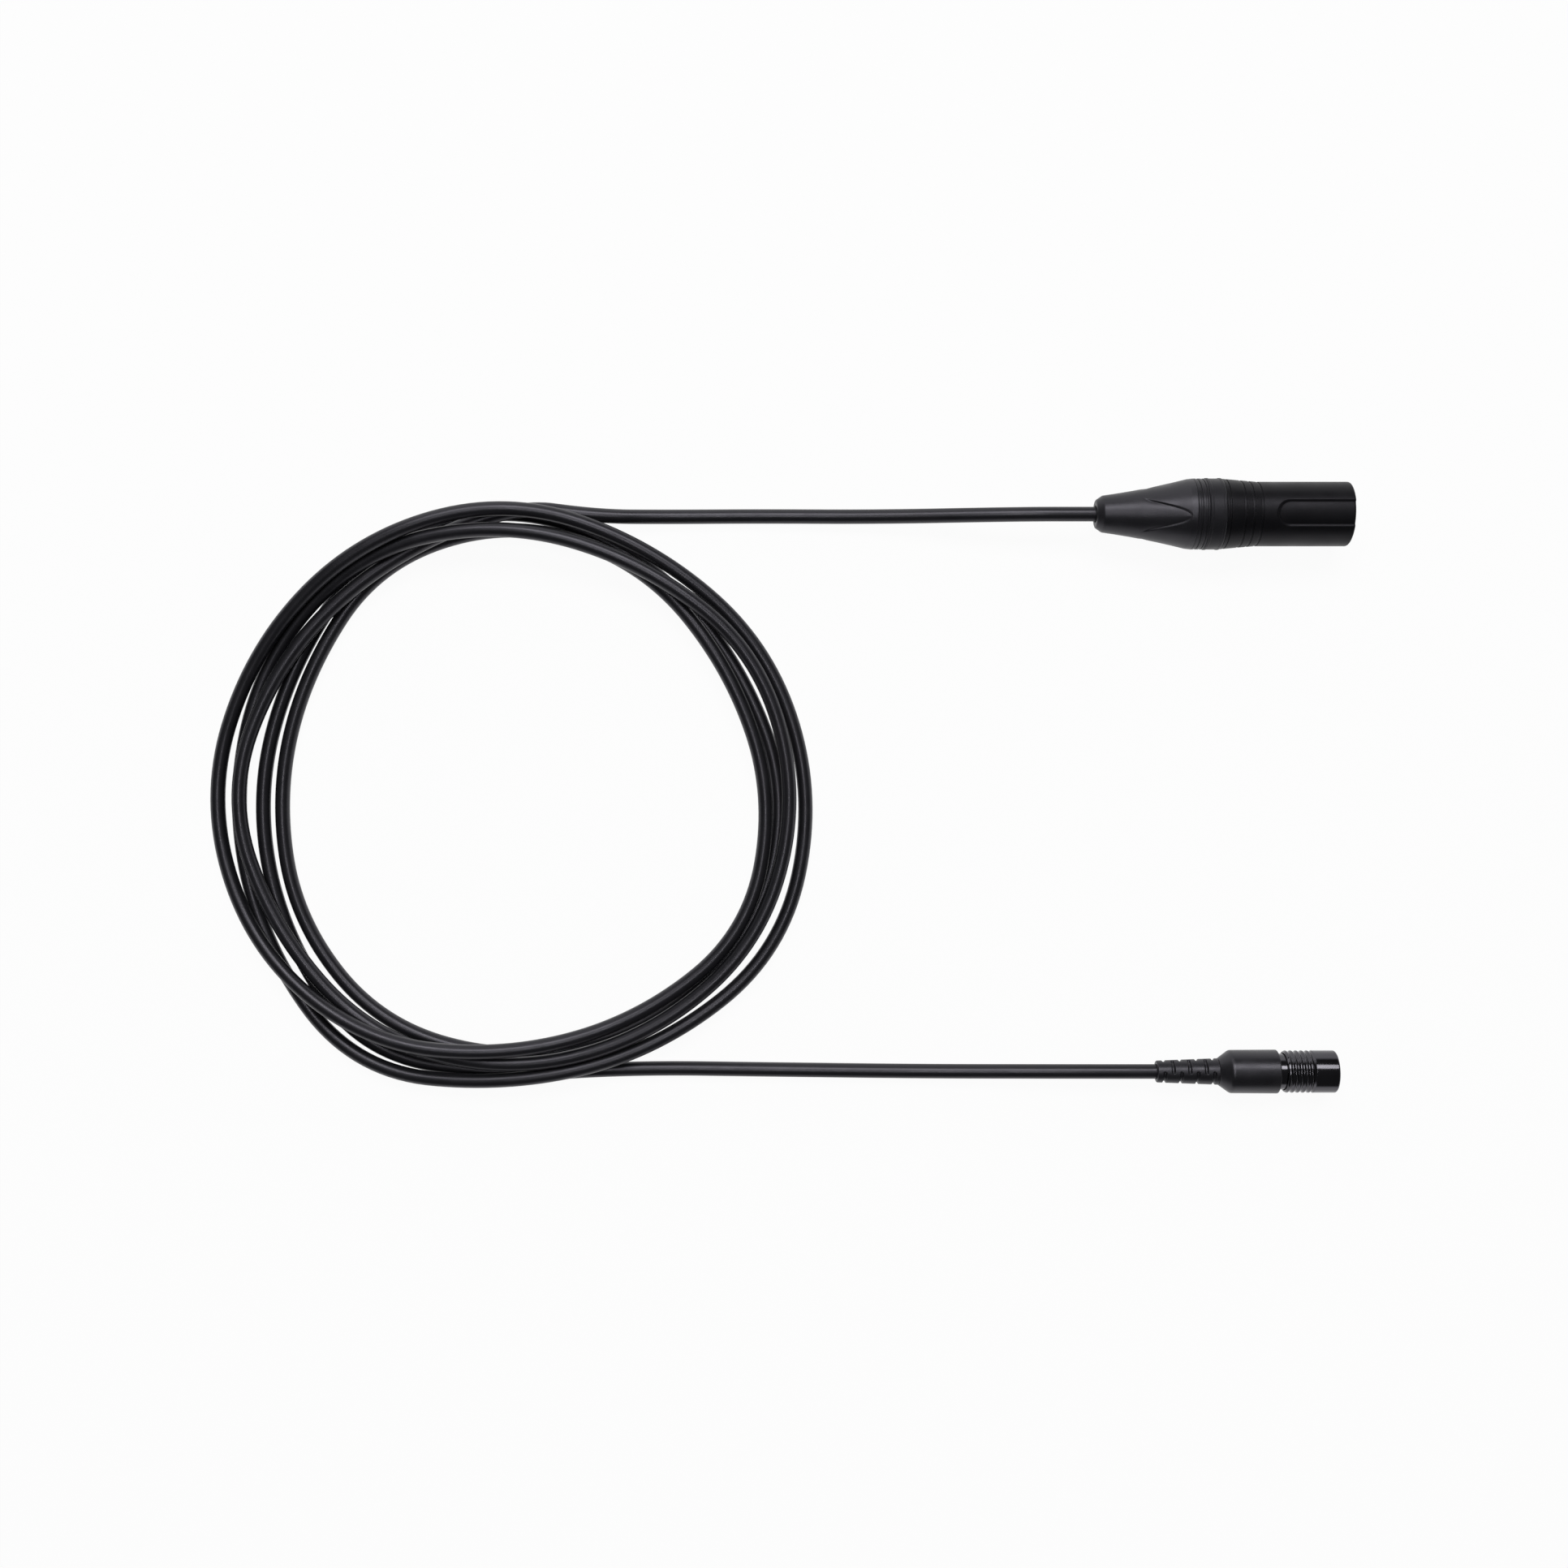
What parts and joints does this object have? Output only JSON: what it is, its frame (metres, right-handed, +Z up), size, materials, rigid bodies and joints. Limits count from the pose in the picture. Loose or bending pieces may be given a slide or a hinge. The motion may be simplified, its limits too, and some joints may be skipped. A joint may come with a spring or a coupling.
{
  "type": "microphone cable coil",
  "caption": "Loosely coiled thin audio cable with a three-pin cable plug on one end and a small push-pull locking plug on the other.",
  "frame": {"origin": "middle of the two plugs' box, on the plane that everything lies on", "axes": "+X the way both plugs point, +Y from the small plug to the long plug, +Z up"},
  "size_m": [0.3417, 0.1843, 0.0212],
  "materials": {
    "black_metal": "gloss black plated shell",
    "insert_plastic": "moulded insulator",
    "contact_metal": "plated spring metal",
    "ring_plastic": "satin black plastic",
    "boot_plastic": "satin black plastic",
    "boot_rubber": "matte black soft moulding",
    "wire_insulation": "insulated wire",
    "guard_rubber": "satin black soft moulding",
    "body_plastic": "satin black plastic",
    "sleeve_metal": "black chrome",
    "spring_steel": "spring wire",
    "clamp_brass": "turned brass",
    "cord_jacket": "satin black cable jacket"
  },
  "bodies": {
    "cable": {"xlr_shell": "black_metal", "xlr_insert": "insert_plastic", "xlr_earth_band": "contact_metal", "xlr_pin_1": "contact_metal", "xlr_pin_2": "contact_metal", "xlr_pin_3": "contact_metal", "xlr_chuck": "insert_plastic", "xlr_wires": "wire_insulation", "mini_cord_guard": "guard_rubber", "mini_body": "body_plastic", "mini_barrel": "sleeve_metal", "mini_lock_spring": "spring_steel", "mini_retaining_clip": "spring_steel", "mini_insert": "insert_plastic", "mini_contacts": "contact_metal", "mini_clamp": "clamp_brass", "mini_ferrule": "clamp_brass", "mini_wires": "wire_insulation", "cord_coil": "cord_jacket", "cord_lead_xlr": "cord_jacket", "cord_lead_mini": "cord_jacket"},
    "coding_ring": {"xlr_coding_ring": "ring_plastic"},
    "boot": {"xlr_boot_bushing": "boot_plastic", "xlr_boot_skin": "boot_rubber"},
    "lock_sleeve": {"mini_lock_sleeve": "sleeve_metal"}
  },
  "joints": [
    {"name": "ring_slide", "type": "slide", "parent": "cable", "child": "coding_ring", "axis": [-1, 0, 0], "range_m": [0, 0.006]},
    {"name": "boot_unscrew", "type": "hinge", "parent": "coding_ring", "child": "boot", "pos_m": [-0.0375, 0.0812, 0.0106], "axis": [-1, 0, 0], "range_deg": [0, 1440]},
    {"name": "sleeve_release", "type": "slide", "parent": "cable", "child": "lock_sleeve", "axis": [-1, 0, 0], "range_m": [0, 0.0018], "stiffness_N_per_m": 1500, "springref_m": -0.001, "deforming": ["mini_lock_spring"]}
  ],
  "couplings": [
    {"joint": "boot_unscrew", "follows": "ring_slide", "rad_per_m": 4188.8}
  ]
}
